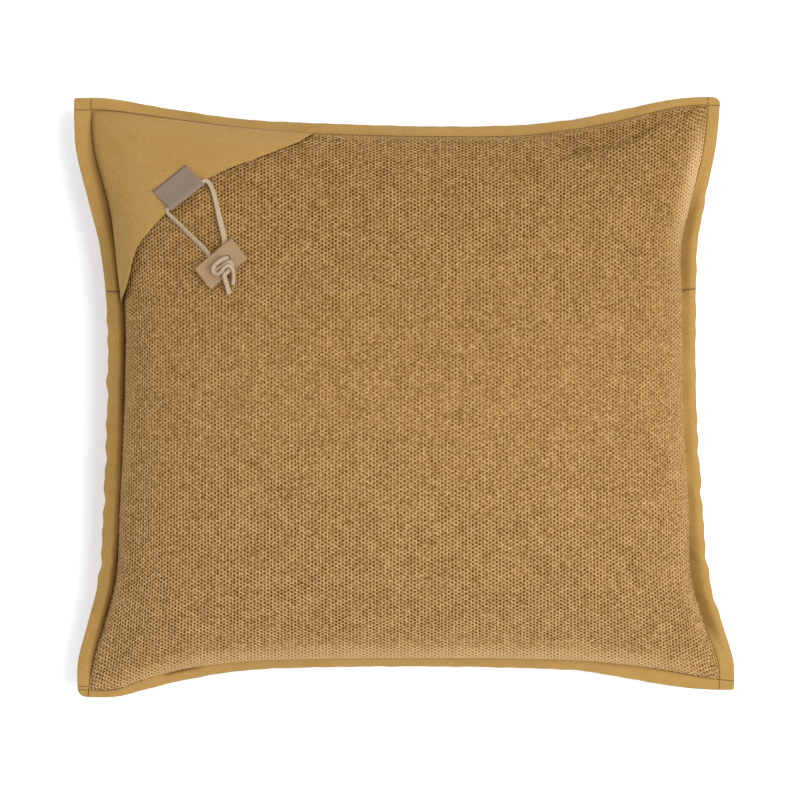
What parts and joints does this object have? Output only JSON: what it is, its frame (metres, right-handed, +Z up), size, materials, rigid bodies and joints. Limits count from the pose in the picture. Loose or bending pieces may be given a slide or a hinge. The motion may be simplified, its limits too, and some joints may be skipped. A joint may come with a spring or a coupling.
{
  "type": "knitted cushion",
  "caption": "Square filled cushion with a knitted face, a flat canvas border, a canvas corner flap, a bare folded label and a leather toggle tied on a flat cotton cord.",
  "frame": {"origin": "on the surface that the cushion lies on, under the middle of its outline", "axes": "+X to the right of the knitted face, +Y to its top edge, +Z up out of the face"},
  "size_m": [0.5276, 0.4798, 0.15],
  "materials": {
    "knit": "fine machine knit, mottled ochre yarn",
    "canvas": "plain woven cotton canvas, golden ochre",
    "tape": "fine woven taupe tape, bare",
    "leather": "natural tan, smooth grain, raw cut edges",
    "cord": "flat soft braided cotton, natural"
  },
  "bodies": {
    "root": {"cushion_body": "knit", "border_upper": "canvas", "border_lower": "canvas", "corner_flap": "canvas", "label": "tape", "cord_left": "cord", "cord_right": "cord", "toggle": "leather", "knot": "cord"}
  },
  "joints": []
}
